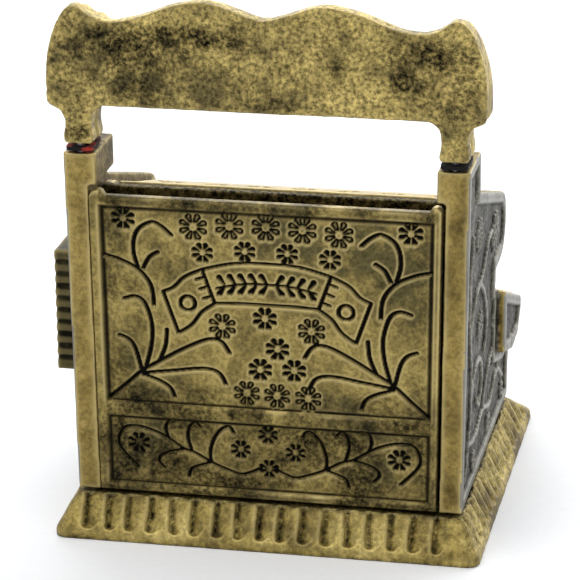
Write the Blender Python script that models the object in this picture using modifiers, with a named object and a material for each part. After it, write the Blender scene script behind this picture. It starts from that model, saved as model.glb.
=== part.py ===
"""Miniature cash register with a block pencil sharpener, as separate castings.

Metres, +Z up. The operator stands at -Y, the engraved back faces +Y, and the
origin is the centre of the base's resting face.
"""

import math

import bmesh
import bpy
from mathutils import Matrix, Vector

MM = 0.001

# Fits
GAP = 0.3 * MM              # between pieces that touch
SLIDE_GAP = 0.5 * MM        # around the drawer
PIN_GAP = 0.25 * MM         # around pins, screws and key stems

# Base
BASE_WIDTH = 50.0 * MM
BASE_DEPTH = 48.4 * MM
PLINTH_HEIGHT = 4.9 * MM
PLINTH_LIP = 1.0 * MM       # upright edge at the bottom
PLINTH_DECK = 1.7 * MM
PLINTH_WALL = 1.5 * MM
SIDE_FLARE = 2.4 * MM       # how far the plinth reaches past the case
REAR_FLARE = 3.0 * MM
FRONT_FLARE = 6.9 * MM
PLINTH_CORNER = 1.2 * MM    # rounding of its corners in plan
BOTTOM_PLATE = 1.3 * MM

# Case
CASE_HEIGHT = 46.1 * MM     # top of the uprights
CASE_SPREAD = 0.0146        # each side leans out this much per unit of height
SIDE_WALL = 2.7 * MM
UPRIGHT_HEAD_WIDTH = 3.7 * MM
UPRIGHT_HEAD_HEIGHT = 3.8 * MM
UPRIGHT_DEPTH = 8.4 * MM
REAR_PANEL_THICKNESS = 1.3 * MM
REAR_PANEL_DROP = 5.0 * MM  # top of the uprights down to the rear panel's top
PANEL_FRAME = 0.85 * MM     # raised strip at the rear panel's sides
PANEL_RECESS = 0.35 * MM
PANEL_EAR = 1.35 * MM       # width of the rounded rise at the rear panel's top corners
TOP_RAIL = 1.1 * MM
MIDDLE_RAIL = 1.6 * MM
LOWER_PANEL_HEIGHT = 8.5 * MM
BOTTOM_RAIL = 0.9 * MM

# Hood and keyboard
SLOT_BEHIND_PANEL = 3.1 * MM
HOOD_THICKNESS = 1.5 * MM
HOOD_SETBACK = 8.4 * MM     # keyboard's front to the hood's nose
HOOD_OVERHANG = 8.1 * MM    # hood's nose past the top of the keyboard
HOOD_NOSE_DROP = 19.6 * MM  # top of the uprights down to the underside of the round nose
HOOD_NOSE_RADIUS = 4.2 * MM
HOOD_SHOULDER = 2.0 * MM    # level strip along the hood's rear edge
SHOULDER_RUN = 2.4 * MM     # steeper fall after it
SHOULDER_FALL = 1.2 * MM
HOOD_LIP = 2.0 * MM         # free end of the nose, past the front panel
HOOD_FLANGE = 5.0 * MM
CHEEK_RIM = 0.8 * MM        # how far the cheeks stand proud of the hood
CHEEK_STEP = 0.6 * MM       # slant from an upright's head down to the cheek
FRONT_PANEL_THICKNESS = 1.4 * MM
FRONT_PANEL_LAP = 3.5 * MM  # how far the front panel reaches up behind the hood's lip
KEYBOARD_OVERHANG = 2.5 * MM    # past the front of the case
KEYBOARD_TOP = 24.2 * MM
KEYBOARD_EDGE = 17.9 * MM
LEDGE_EDGE = 1.9 * MM       # upright edge at the front of the keyboard ledge
KEYBOARD_THICKNESS = 1.4 * MM
KEYBOARD_SUNK = 1.6 * MM    # below the edge of the cheeks
KEYBOARD_NOSE = 0.4 * MM    # keyboard's front behind the cheeks' front
KEYBOARD_ROUND = 2.0 * MM   # fall of its front edge
KEYBOARD_ROUND_DROP = 0.6 * MM
LEDGE_OUT = 1.3 * MM        # moulding at the sides of the keyboard ledge
LEDGE_TAIL = 4.7 * MM       # its underside below the ledge's edge
KEY_COLUMNS = 5
KEY_ROWS = 2
KEY_MARGIN = 1.4 * MM       # free width at each end of a row
KEY_ROW_PITCH = 6.6 * MM
KEY_RADIUS = 2.4 * MM
KEY_HEAD = 1.3 * MM
KEY_STEM = 1.0 * MM
KEY_TRAVEL = 1.0 * MM
KEY_FLARE = 1.6 * MM        # radius of the stem's flared end under the plate
KEY_FLARE_HEIGHT = 0.6 * MM

# Shelf and drawer
SHELF_TOP = 16.8 * MM
SHELF_THICKNESS = 1.5 * MM
STOP_RIB = 0.8 * MM         # below the shelf
STOP_RIB_THICKNESS = 1.2 * MM
SHELF_LAP = 2.8 * MM        # shelf's front past the keyboard's rear
DRAWER_WALL = 1.2 * MM
DRAWER_FRONT = 1.6 * MM
DRAWER_SIDE_HEIGHT = 8.6 * MM
KNOB_RADIUS = 2.1 * MM
KNOB_LENGTH = 3.4 * MM
KNOB_STEM = 0.8 * MM

# Sharpener
SHARPENER_LENGTH = 25.0 * MM
SHARPENER_HEIGHT = 14.8 * MM
SHARPENER_THICKNESS = 10.5 * MM
SHARPENER_SETBACK = 7.0 * MM    # behind the rear face of the case
SHARPENER_OUT = 4.1 * MM        # how far it sticks out of the side wall
PENCIL_RADIUS = 4.1 * MM
PENCIL_POINT = 0.9 * MM
GRIP_RIB = 0.45 * MM
GRIP_RIBS = 9
GRIP_END = 5.6 * MM         # unmilled end of the block that fingers hold
BLADE_LENGTH = 18.0 * MM
BLADE_TOP = 0.4 * MM        # below the top of the sharpener
BLADE_THICKNESS = 0.6 * MM
BLADE_BITE = 0.5 * MM       # how far the blade's seat cuts into the bore
BLADE_SCREW_RADIUS = 0.9 * MM
BLADE_SCREW_LENGTH = 2.6 * MM

# Crest
CREST_LAYER = 2.1 * MM      # rear layer
CREST_FRONT_LAYER = 2.4 * MM
CREST_FRONT_DROP = 0.9 * MM # front layer's scallops below the rear layer's
CREST_RELIEF = 1.5 * MM
RELIEF_MARGIN = 1.3 * MM    # relief's edge below the crest's edge
RELIEF_SHARE = 0.93         # relief's width over the crest's
RELIEF_FOOT = 2.2 * MM      # relief's bottom above the crest's
CREST_LEG_WIDTH = 3.6 * MM
CREST_SEAM = 0.9 * MM       # between the legs and the uprights
CREST_LEG_HEIGHT = 4.5 * MM
CREST_OVERHANG = 2.4 * MM   # past the case at each side
CREST_CORNER = 0.9 * MM     # rounding of its lower corners
CREST_CORNER_RISE = 0.7 * MM
LEG_FOOT = 0.6 * MM         # rounding of the feet
LEG_WAIST = 0.25 * MM       # narrowing of the legs
LEG_SHOULDER = 0.9 * MM     # flare where a leg meets the crest
DOWEL_RADIUS = 0.45 * MM
DOWEL_LENGTH = 4.4 * MM
WASHER_RADIUS = 1.0 * MM

# Fasteners
SCREW_RADIUS = 0.8 * MM
SCREW_HEAD_RADIUS = 1.7 * MM
SCREW_HEAD = 0.6 * MM
SCREW_LENGTH = 3.2 * MM
BOSS_RADIUS = 2.2 * MM
SCREW_INSET = 3.2 * MM      # from the edges of the hollow under the plinth

# Dependent sizes
CASE_WIDTH = BASE_WIDTH - 2 * SIDE_FLARE
CASE_REAR = BASE_DEPTH / 2 - REAR_FLARE
CASE_FRONT = FRONT_FLARE - BASE_DEPTH / 2
CASE_BOTTOM = PLINTH_HEIGHT + GAP
CASE_DEPTH = CASE_REAR - CASE_FRONT
INNER_WIDTH = CASE_WIDTH - 2 * SIDE_WALL
REAR_PANEL_HEIGHT = CASE_HEIGHT - REAR_PANEL_DROP
KEYBOARD_DEPTH = CASE_DEPTH + KEYBOARD_OVERHANG
HOOD_DEPTH = KEYBOARD_DEPTH - HOOD_SETBACK
KEYBOARD_REAR = HOOD_DEPTH - HOOD_OVERHANG
HOOD_REAR = REAR_PANEL_THICKNESS + SLOT_BEHIND_PANEL
HOOD_TOP = REAR_PANEL_HEIGHT
HOOD_NOSE_HEIGHT = CASE_HEIGHT - HOOD_NOSE_DROP
KEY_PITCH = (INNER_WIDTH - 2 * KEY_MARGIN) / KEY_COLUMNS
SHELF_BOTTOM = SHELF_TOP - SHELF_THICKNESS
KEY_SLOPE = math.atan2(KEYBOARD_TOP - KEYBOARD_EDGE, KEYBOARD_DEPTH - KEYBOARD_REAR)
SHARPENER_BOTTOM = SHELF_TOP + GAP
SHARPENER_REACH = CASE_WIDTH / 2 + SHARPENER_OUT
SHARPENER_AXIS = SHARPENER_BOTTOM + SHARPENER_HEIGHT / 2
BLADE_WIDTH = SHARPENER_HEIGHT / 2 - BLADE_TOP
DRAWER_WIDTH = INNER_WIDTH - 2 * SLIDE_GAP
DRAWER_BOTTOM = CASE_BOTTOM + GAP
DRAWER_REAR = REAR_PANEL_THICKNESS + 2 * GAP
DRAWER_REAR_INSIDE = DRAWER_REAR + DRAWER_WALL
SHELF_FRONT = KEYBOARD_REAR + SHELF_LAP     # the front of its stop rib too
DRAWER_TRAVEL = SHELF_FRONT - STOP_RIB_THICKNESS - GAP - DRAWER_REAR_INSIDE
MIDDLE_RAIL_BOTTOM = CASE_BOTTOM + BOTTOM_RAIL + LOWER_PANEL_HEIGHT
CREST_FOOT = CASE_HEIGHT + CREST_SEAM
CREST_BOTTOM = CREST_FOOT + CREST_LEG_HEIGHT    # top of the see-through window
CREST_SIDE = CASE_WIDTH / 2 + CREST_OVERHANG


def depth(value):
    """Y of a place this far in front of the case's rear face."""
    return CASE_REAR - value


def collection(name):
    group = bpy.data.collections.new(name)
    bpy.context.scene.collection.children.link(group)
    return group


def clear_scene():
    for obj in list(bpy.data.objects):
        bpy.data.objects.remove(obj, do_unlink=True)


def material(name, colour, roughness, metallic):
    made = bpy.data.materials.new(name)
    made.use_nodes = True
    shader = made.node_tree.nodes["Principled BSDF"]
    shader.inputs["Base Color"].default_value = (*colour, 1.0)
    shader.inputs["Roughness"].default_value = roughness
    shader.inputs["Metallic"].default_value = metallic
    return made


clear_scene()
PARTS = collection("cash_register")
CUTTERS = collection("cutters")


def keep(obj, finish=None, group=None):
    """Puts an object in its collection and gives it a material."""
    for old in list(obj.users_collection):
        old.objects.unlink(obj)
    (group or PARTS).objects.link(obj)
    if finish:
        obj.data.materials.clear()
        obj.data.materials.append(finish)
    return obj


def new_object(name, mesh, finish=None, group=None):
    obj = bpy.data.objects.new(name, mesh)
    bpy.context.scene.collection.objects.link(obj)
    return keep(obj, finish, group)


def mesh_from(bm, name):
    mesh = bpy.data.meshes.new(name)
    bm.to_mesh(mesh)
    bm.free()
    return mesh


def block(name, low, high, finish=None, group=None, bevel=0.0):
    """A box between two corners."""
    low = Vector(low)
    high = Vector(high)
    bm = bmesh.new()
    bmesh.ops.create_cube(bm, size=1.0)
    bmesh.ops.scale(bm, vec=high - low, verts=bm.verts)
    bmesh.ops.translate(bm, vec=(high + low) / 2, verts=bm.verts)
    obj = new_object(name, mesh_from(bm, name), finish, group)
    if bevel:
        soften(obj, bevel)
    return obj


def soften(obj, width, segments=2):
    bevel = obj.modifiers.new("soft_edges", "BEVEL")
    bevel.width = width
    bevel.segments = segments
    bevel.limit_method = "ANGLE"
    return bevel


AXIS_TURN = {
    "X": Matrix.Rotation(math.pi / 2, 4, "Y"),
    "Y": Matrix.Rotation(-math.pi / 2, 4, "X"),
    "Z": Matrix.Identity(4),
}


def rod(name, centre, radius, length, axis="Z", finish=None, group=None, end_radius=None, sides=24):
    """A cylinder or cone along an axis; end_radius is at its high end."""
    bm = bmesh.new()
    tip = radius if end_radius is None else end_radius
    bmesh.ops.create_cone(bm, cap_ends=True, segments=sides, radius1=radius, radius2=tip, depth=length)
    bmesh.ops.transform(bm, matrix=Matrix.Translation(centre) @ AXIS_TURN[axis], verts=bm.verts)
    obj = new_object(name, mesh_from(bm, name), finish, group)
    smooth(obj)
    return obj


def smooth(obj):
    """Smooth shading with the sharp edges kept."""
    obj.data.shade_smooth()
    obj.data.set_sharp_from_angle(angle=math.radians(40))


def outline_solid(name, outlines, thickness, plane, offset, finish=None, group=None):
    """Flat outlines filled and thickened. Plane XZ reads x, z; plane YZ reads y, z.

    offset is the middle of the thickness, along Y or X.
    """
    curve = bpy.data.curves.new(name, "CURVE")
    curve.dimensions = "2D"
    curve.fill_mode = "BOTH"
    curve.extrude = thickness / 2
    for points in outlines:
        spline = curve.splines.new("POLY")
        spline.points.add(len(points) - 1)
        for place, (across, up) in zip(spline.points, points):
            place.co = (across, up, 0.0, 1.0)
        spline.use_cyclic_u = True
    drawn = bpy.data.objects.new(name + "_outline", curve)
    bpy.context.scene.collection.objects.link(drawn)
    if plane == "XZ":
        drawn.matrix_world = Matrix.Translation((0, offset, 0)) @ Matrix.Rotation(math.pi / 2, 4, "X")
    else:
        turn = Matrix.Rotation(math.pi / 2, 4, "Z") @ Matrix.Rotation(math.pi / 2, 4, "X")
        drawn.matrix_world = Matrix.Translation((offset, 0, 0)) @ turn
    bpy.context.view_layer.update()
    mesh = bpy.data.meshes.new_from_object(drawn.evaluated_get(bpy.context.evaluated_depsgraph_get()))
    bm = bmesh.new()
    bm.from_mesh(mesh)
    bm.transform(drawn.matrix_world)
    bmesh.ops.remove_doubles(bm, verts=bm.verts, dist=0.001 * MM)
    bmesh.ops.recalc_face_normals(bm, faces=bm.faces)
    bpy.data.objects.remove(drawn)
    bpy.data.meshes.remove(mesh)
    return new_object(name, mesh_from(bm, name), finish, group)


def turned(name, profile, finish, segments=24):
    """A shape of revolution about Z from radius, height pairs, top to bottom."""
    bm = bmesh.new()
    corners = [bm.verts.new((radius, 0.0, height)) for radius, height in profile]
    for upper, lower in zip(corners, corners[1:]):
        bm.edges.new((upper, lower))
    obj = new_object(name, mesh_from(bm, name), finish)
    spin = obj.modifiers.new("turn", "SCREW")
    spin.steps = segments
    spin.render_steps = segments
    spin.use_merge_vertices = True
    spin.merge_threshold = 0.00001
    return obj


def combine(target, tool, operation="DIFFERENCE"):
    """A Boolean of target with a tool, which becomes a hidden cutter."""
    keep(tool, group=CUTTERS)
    tool.hide_render = True
    tool.display_type = "WIRE"
    change = target.modifiers.new(tool.name, "BOOLEAN")
    change.operation = operation
    change.solver = "EXACT"
    change.object = tool
    return change


def spread(obj):
    """Leans the two sides of a case piece outwards with height."""
    for vert in obj.data.vertices:
        vert.co.x = spread_x(vert.co.x, vert.co.z)
    return obj


def spread_x(x, z):
    return x * (1 + CASE_SPREAD * (z - CASE_BOTTOM) / (CASE_WIDTH / 2))


# The crest's legs stand over the middle of the uprights.
CREST_LEG_X = spread_x((CASE_WIDTH - UPRIGHT_HEAD_WIDTH) / 2, CASE_HEIGHT)


def arc(centre, radius, start, end, steps):
    """Points on an arc, angles in degrees, both ends included."""
    angles = [math.radians(start + (end - start) * i / steps) for i in range(steps + 1)]
    return [(centre[0] + radius * math.cos(a), centre[1] + radius * math.sin(a)) for a in angles]


def smooth_through(points, steps):
    """A smooth line through points (Catmull-Rom), both ends included."""
    padded = [points[0], *points, points[-1]]
    line = []
    for before, start, end, after in zip(padded, padded[1:], padded[2:], padded[3:]):
        for i in range(steps):
            t = i / steps
            line.append(tuple(
                0.5 * (2 * b + (c - a) * t + (2 * a - 5 * b + 4 * c - d) * t**2
                       + (3 * b - a - 3 * c + d) * t**3)
                for a, b, c, d in zip(before, start, end, after)))
    return [*line, points[-1]]


def mirrored(half):
    """A closed outline from its right half, listed from top to bottom."""
    return [*half, *[(-x, z) for x, z in reversed(half)]]


BRASS = material("antique_brass", (0.36, 0.27, 0.10), 0.42, 1.0)
DARK_BRASS = material("dark_brass", (0.20, 0.15, 0.06), 0.5, 1.0)
STEEL = material("steel", (0.55, 0.55, 0.56), 0.3, 1.0)
RED_FIBRE = material("red_fibre", (0.45, 0.02, 0.02), 0.8, 0.0)
KEY_BRASS = material("key_brass", (0.45, 0.34, 0.13), 0.35, 1.0)


# ---------------------------------------------------------------- base

def hollow_plan():
    """Half width, front and rear of the hollow under the plinth's deck."""
    wall = PLINTH_WALL / 2
    return CASE_WIDTH / 2 - wall, CASE_FRONT + wall, CASE_REAR - wall


def screw_places():
    half, front, rear = hollow_plan()
    return [(side * (half - SCREW_INSET), y) for y in (rear - SCREW_INSET, front + SCREW_INSET)
            for side in (1, -1)]


def tenon_depths():
    """Where each side wall's two tenons pass the deck, in front of the rear face."""
    return (CASE_DEPTH * 0.2, CASE_DEPTH * 0.8)


def tenon(side, place, clearance, name, group=None):
    half_x = SIDE_WALL * 0.3 + clearance
    half_y = 1.6 * MM + clearance
    middle = side * (CASE_WIDTH - SIDE_WALL) / 2
    low = (middle - half_x, depth(place) - half_y, PLINTH_HEIGHT - PLINTH_DECK - clearance)
    high = (middle + half_x, depth(place) + half_y, CASE_BOTTOM + 0.5 * MM)
    return block(name, low, high, group=group)


def base_plinth():
    bm = bmesh.new()
    bmesh.ops.create_cube(bm, size=1.0)
    bmesh.ops.scale(bm, vec=(BASE_WIDTH, BASE_DEPTH, PLINTH_LIP), verts=bm.verts)
    bmesh.ops.translate(bm, vec=(0, 0, PLINTH_LIP / 2), verts=bm.verts)
    top = [face for face in bm.faces if face.normal.z > 0.5]
    slope = bmesh.ops.extrude_face_region(bm, geom=top)
    bmesh.ops.delete(bm, geom=top, context="FACES")
    for vert in [item for item in slope["geom"] if isinstance(item, bmesh.types.BMVert)]:
        vert.co.z = PLINTH_HEIGHT
        vert.co.x = math.copysign(CASE_WIDTH / 2 + GAP, vert.co.x)
        vert.co.y = CASE_REAR + GAP if vert.co.y > 0 else CASE_FRONT - GAP
    upright = [edge for edge in bm.edges if abs(edge.verts[0].co.z - edge.verts[1].co.z) > 0.1 * MM]
    bmesh.ops.bevel(bm, geom=upright, offset=PLINTH_CORNER, segments=3, profile=0.5, affect="EDGES")
    plinth = new_object("base_plinth", mesh_from(bm, "base_plinth"), BRASS)
    half, front, rear = hollow_plan()
    hollow_top = PLINTH_HEIGHT - PLINTH_DECK
    hollow = block("plinth_hollow", (-half, front, -MM), (half, rear, hollow_top))
    combine(plinth, hollow)
    for number, (x, y) in enumerate(screw_places(), 1):
        low = BOTTOM_PLATE + GAP
        high = PLINTH_HEIGHT - PLINTH_DECK / 2
        boss = rod(f"boss_{number}", (x, y, (low + high) / 2), BOSS_RADIUS, high - low)
        combine(plinth, boss, "UNION")
        hole_top = BOTTOM_PLATE + SCREW_LENGTH - SCREW_HEAD + GAP
        hole = rod(f"boss_hole_{number}", (x, y, hole_top / 2), SCREW_RADIUS + PIN_GAP, hole_top)
        combine(plinth, hole)
    for side, word in ((1, "right"), (-1, "left")):
        for place, end in zip(tenon_depths(), ("rear", "front")):
            combine(plinth, tenon(side, place, GAP, f"{word}_{end}_tenon_slot"))
    return plinth


def bottom_plate():
    half, front, rear = hollow_plan()
    plate = block("bottom_plate", (GAP - half, front + GAP, 0), (half - GAP, rear - GAP, BOTTOM_PLATE),
                  DARK_BRASS)
    for number, (x, y) in enumerate(screw_places(), 1):
        hole = rod(f"plate_hole_{number}", (x, y, 0), SCREW_RADIUS + PIN_GAP, 4 * BOTTOM_PLATE)
        combine(plate, hole)
        sink_top = SCREW_HEAD + 2 * PIN_GAP
        sink = rod(f"plate_sink_{number}", (x, y, sink_top / 2 - MM), SCREW_HEAD_RADIUS + PIN_GAP,
                   sink_top + 2 * MM)
        combine(plate, sink)
        head_bottom = PIN_GAP
        shank = head_bottom + SCREW_HEAD
        screw = turned(f"bottom_screw_{number}", [
            (0, SCREW_LENGTH), (SCREW_RADIUS, SCREW_LENGTH), (SCREW_RADIUS, shank),
            (SCREW_HEAD_RADIUS, shank), (SCREW_HEAD_RADIUS, head_bottom), (0, head_bottom)], STEEL)
        screw.location = (x, y, 0)
    return plate


# ---------------------------------------------------------------- case

def nose_arc(inset):
    """Round nose of the hood from its brow to its underside, drawn towards the front."""
    centre = (HOOD_DEPTH - HOOD_NOSE_RADIUS, HOOD_NOSE_HEIGHT + HOOD_NOSE_RADIUS)
    return arc(centre, HOOD_NOSE_RADIUS - inset, 75, -70, 8)


def side_outline():
    """Side wall seen from the side, as distances in front of the rear face, and heights."""
    edge = KEYBOARD_EDGE - LEDGE_EDGE
    points = [
        (0, CASE_BOTTOM),
        (0, CASE_HEIGHT),
        (UPRIGHT_DEPTH, CASE_HEIGHT),
        (UPRIGHT_DEPTH + CHEEK_STEP, HOOD_TOP),
        *nose_arc(0),
        (KEYBOARD_REAR, HOOD_NOSE_HEIGHT),
        (KEYBOARD_REAR, KEYBOARD_TOP),
        (KEYBOARD_DEPTH, KEYBOARD_EDGE),
        (KEYBOARD_DEPTH, edge),
        (CASE_DEPTH, edge - LEDGE_EDGE / 3),
        (CASE_DEPTH, CASE_BOTTOM),
    ]
    return [(depth(distance), height) for distance, height in points]


def ledge_end(side, word):
    """Moulding on the outside of the ledge, with a tail that curls down and back."""
    run = KEYBOARD_DEPTH - KEYBOARD_REAR
    edge = KEYBOARD_EDGE - LEDGE_EDGE
    points = [
        (KEYBOARD_REAR + run * 0.1, KEYBOARD_TOP - (KEYBOARD_TOP - KEYBOARD_EDGE) * 0.1 - GAP),
        (KEYBOARD_DEPTH, KEYBOARD_EDGE - GAP),
        (KEYBOARD_DEPTH, edge),
        (KEYBOARD_DEPTH - run * 0.15, edge - LEDGE_TAIL * 0.5),
        (KEYBOARD_DEPTH - run * 0.45, KEYBOARD_EDGE - LEDGE_TAIL),
        (KEYBOARD_REAR + run * 0.1, edge - LEDGE_EDGE / 3),
    ]
    outline = [(depth(distance), height) for distance, height in points]
    overlap = SIDE_WALL / 2
    middle = side * (CASE_WIDTH / 2 + (LEDGE_OUT - overlap) / 2)
    return outline_solid(f"{word}_ledge_end", [outline], LEDGE_OUT + overlap, "YZ", middle)


def side_wall(side, word):
    middle = side * (CASE_WIDTH - SIDE_WALL) / 2
    wall = outline_solid(f"{word}_side_wall", [side_outline()], SIDE_WALL, "YZ", middle, BRASS)
    spread(wall)
    inner = side * (CASE_WIDTH / 2 - UPRIGHT_HEAD_WIDTH)
    outer = side * (CASE_WIDTH / 2 - SIDE_WALL / 2)
    low = (min(inner, outer), depth(UPRIGHT_DEPTH), CASE_HEIGHT - UPRIGHT_HEAD_HEIGHT)
    high = (max(inner, outer), depth(0), CASE_HEIGHT)
    combine(wall, spread(block(f"{word}_upright_head", low, high)), "UNION")
    combine(wall, ledge_end(side, word), "UNION")
    for place, end in zip(tenon_depths(), ("rear", "front")):
        combine(wall, tenon(side, place, 0, f"{word}_{end}_tenon"), "UNION")
    for layer, middle_depth in crest_layers().items():
        hole = rod(f"{word}_{layer}_post_hole", (side * CREST_LEG_X, depth(middle_depth), CASE_HEIGHT),
                   DOWEL_RADIUS + PIN_GAP, DOWEL_LENGTH, sides=16)
        combine(wall, hole)
    return wall


def rear_panel():
    half = INNER_WIDTH / 2 - GAP
    top = REAR_PANEL_HEIGHT
    ear = PANEL_EAR / 2
    half_outline = [
        (half - PANEL_EAR, top),
        *arc((half - ear, top), ear, 150, 0, 5),
        (half, CASE_BOTTOM),
    ]
    outline = mirrored(half_outline)
    middle = depth(REAR_PANEL_THICKNESS / 2)
    panel = outline_solid("rear_panel", [outline], REAR_PANEL_THICKNESS, "XZ", middle, BRASS)
    spread(panel)
    recess_half = half - PANEL_FRAME
    floor = depth(PANEL_RECESS)
    upper_low = MIDDLE_RAIL_BOTTOM + MIDDLE_RAIL
    for name, low, high in (("upper", upper_low, top - TOP_RAIL),
                            ("lower", CASE_BOTTOM + BOTTOM_RAIL, MIDDLE_RAIL_BOTTOM)):
        recess = block(f"{name}_recess", (-recess_half, floor, low), (recess_half, depth(-MM), high))
        combine(panel, spread(recess))
    return panel


def hood():
    """Open shell between the cheeks, from its rear flange over the top to under the nose."""
    shoulder = HOOD_REAR + HOOD_SHOULDER
    profile = [
        (HOOD_REAR, HOOD_TOP - HOOD_FLANGE),
        (HOOD_REAR, HOOD_TOP),
        (shoulder, HOOD_TOP),
        (shoulder + SHOULDER_RUN, HOOD_TOP - SHOULDER_FALL),
        *nose_arc(CHEEK_RIM),
        (KEYBOARD_REAR + HOOD_LIP, HOOD_NOSE_HEIGHT + CHEEK_RIM),
    ]
    half = INNER_WIDTH / 2 - GAP
    bm = bmesh.new()
    line = [bm.verts.new((-half, depth(distance), height)) for distance, height in profile]
    edges = [bm.edges.new(pair) for pair in zip(line, line[1:])]
    swept = bmesh.ops.extrude_edge_only(bm, edges=edges)
    moved = [item for item in swept["geom"] if isinstance(item, bmesh.types.BMVert)]
    bmesh.ops.translate(bm, vec=(2 * half, 0, 0), verts=moved)
    bmesh.ops.recalc_face_normals(bm, faces=bm.faces)
    if max(bm.faces, key=lambda face: face.calc_center_median().z).normal.z < 0:
        bmesh.ops.reverse_faces(bm, faces=bm.faces)
    cover = spread(new_object("hood", mesh_from(bm, "hood"), BRASS))
    shell = cover.modifiers.new("thickness", "SOLIDIFY")
    shell.thickness = HOOD_THICKNESS
    shell.offset = -1.0
    shell.use_even_offset = True
    return cover


# ---------------------------------------------------------------- crest

def crest_layers():
    """Middle depth of the crest's two layers of legs."""
    return {
        "rear": CREST_LAYER / 2,
        "front": CREST_LAYER + GAP + CREST_FRONT_LAYER / 2,
    }


# Scalloped top edge of the crest, from the middle dip out to the side: millimetres across on a
# crest 50 mm wide, which stretch with it, and millimetres above its bottom edge.
CREST_SCALLOPS = [
    (0, 10.6), (2.6, 11.5), (6.4, 12.6), (10.2, 12.1), (14.6, 10.5), (17.6, 10.0), (19.6, 10.6),
    (21.2, 11.7), (22.6, 11.2), (23.9, 9.0), (24.8, 5.8), (25.0, 3.0)]


def crest_top(narrow=1.0, lower=0.0):
    """The crest's top edge; a relief on it is narrower and lower."""
    stretch = narrow * CREST_SIDE / 25.0
    return [(x * stretch, CREST_BOTTOM + z * MM - lower) for x, z in smooth_through(CREST_SCALLOPS, 3)]


def crest_half(lower):
    """Right half of a crest layer with its leg, from the middle dip round to the window's top."""
    leg = CREST_LEG_WIDTH / 2
    outer = CREST_LEG_X + leg
    inner = CREST_LEG_X - leg
    return [
        *crest_top(lower=lower),
        *arc((CREST_SIDE - CREST_CORNER, CREST_BOTTOM + CREST_CORNER_RISE), CREST_CORNER, 0, -80, 3),
        (outer + LEG_WAIST, CREST_BOTTOM - 0.13 * CREST_LEG_HEIGHT),
        (outer - LEG_WAIST, CREST_BOTTOM - 0.4 * CREST_LEG_HEIGHT),
        (outer, CREST_FOOT + 2 * LEG_FOOT),
        *arc((outer - LEG_FOOT, CREST_FOOT + LEG_FOOT), LEG_FOOT, 0, -90, 3),
        *arc((inner + LEG_FOOT, CREST_FOOT + LEG_FOOT), LEG_FOOT, -90, -180, 3),
        (inner + LEG_WAIST, CREST_BOTTOM - 0.5 * CREST_LEG_HEIGHT),
        (inner, CREST_BOTTOM - 0.15 * CREST_LEG_HEIGHT),
        (inner - LEG_SHOULDER, CREST_BOTTOM),
    ]


def crest_layer(layer, thickness):
    middle = crest_layers()[layer]
    lower = CREST_FRONT_DROP if layer == "front" else 0.0
    piece = outline_solid(f"crest_{layer}", [mirrored(crest_half(lower)[1:])], thickness, "XZ",
                          depth(middle), BRASS if layer == "rear" else DARK_BRASS)
    if layer == "front":
        inner = [point for point in crest_top(RELIEF_SHARE, lower + RELIEF_MARGIN)
                 if point[1] > CREST_BOTTOM + RELIEF_FOOT + RELIEF_MARGIN / 2]
        base = [(inner[-1][0], CREST_BOTTOM + RELIEF_FOOT)]
        sunk = GAP / 3
        relief_depth = middle + thickness / 2 + CREST_RELIEF / 2 - sunk
        relief = outline_solid("crest_relief", [mirrored([*inner[1:], *base])],
                               CREST_RELIEF + 2 * sunk, "XZ", depth(relief_depth))
        combine(piece, relief, "UNION")
    for side, word in ((1, "right"), (-1, "left")):
        hole = rod(f"{word}_{layer}_leg_hole", (side * CREST_LEG_X, depth(middle), CREST_FOOT),
                   DOWEL_RADIUS + PIN_GAP, DOWEL_LENGTH - MM, sides=16)
        combine(piece, hole)
    return piece


def crest_joints():
    """Dowel pins between legs and uprights, each through a red washer."""
    seam = (CASE_HEIGHT + CREST_FOOT) / 2
    washer = CREST_FOOT - CASE_HEIGHT - 2 * GAP
    for side, word in ((1, "right"), (-1, "left")):
        for layer, middle in crest_layers().items():
            at = (side * CREST_LEG_X, depth(middle), seam)
            length = DOWEL_LENGTH - (CREST_FOOT - CASE_HEIGHT)
            rod(f"{word}_{layer}_dowel", at, DOWEL_RADIUS, length, finish=STEEL, sides=16)
            ring = rod(f"{word}_{layer}_washer", at, WASHER_RADIUS, washer, finish=RED_FIBRE)
            hole = rod(f"{word}_{layer}_washer_hole", at, DOWEL_RADIUS + PIN_GAP, 5 * washer, sides=16)
            combine(ring, hole)


# ---------------------------------------------------------------- inside

def shelf():
    half = INNER_WIDTH / 2 - GAP
    rear = depth(REAR_PANEL_THICKNESS + GAP)
    front = depth(SHELF_FRONT)
    plate = block("shelf", (-half, front, SHELF_BOTTOM), (half, rear, SHELF_TOP), DARK_BRASS)
    slot_low = (SHARPENER_REACH - SHARPENER_LENGTH + 2 * MM,
                depth(SHARPENER_SETBACK + SHARPENER_THICKNESS - MM), SHELF_BOTTOM - MM)
    slot_high = (half - 2 * MM, depth(SHARPENER_SETBACK + MM), SHELF_TOP + MM)
    combine(plate, block("shavings_slot", slot_low, slot_high))
    rib_low = (-half, front, SHELF_BOTTOM - STOP_RIB)
    rib_high = (half, front + STOP_RIB_THICKNESS, SHELF_BOTTOM + SHELF_THICKNESS / 2)
    combine(plate, block("stop_rib", rib_low, rib_high), "UNION")
    return plate


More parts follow.
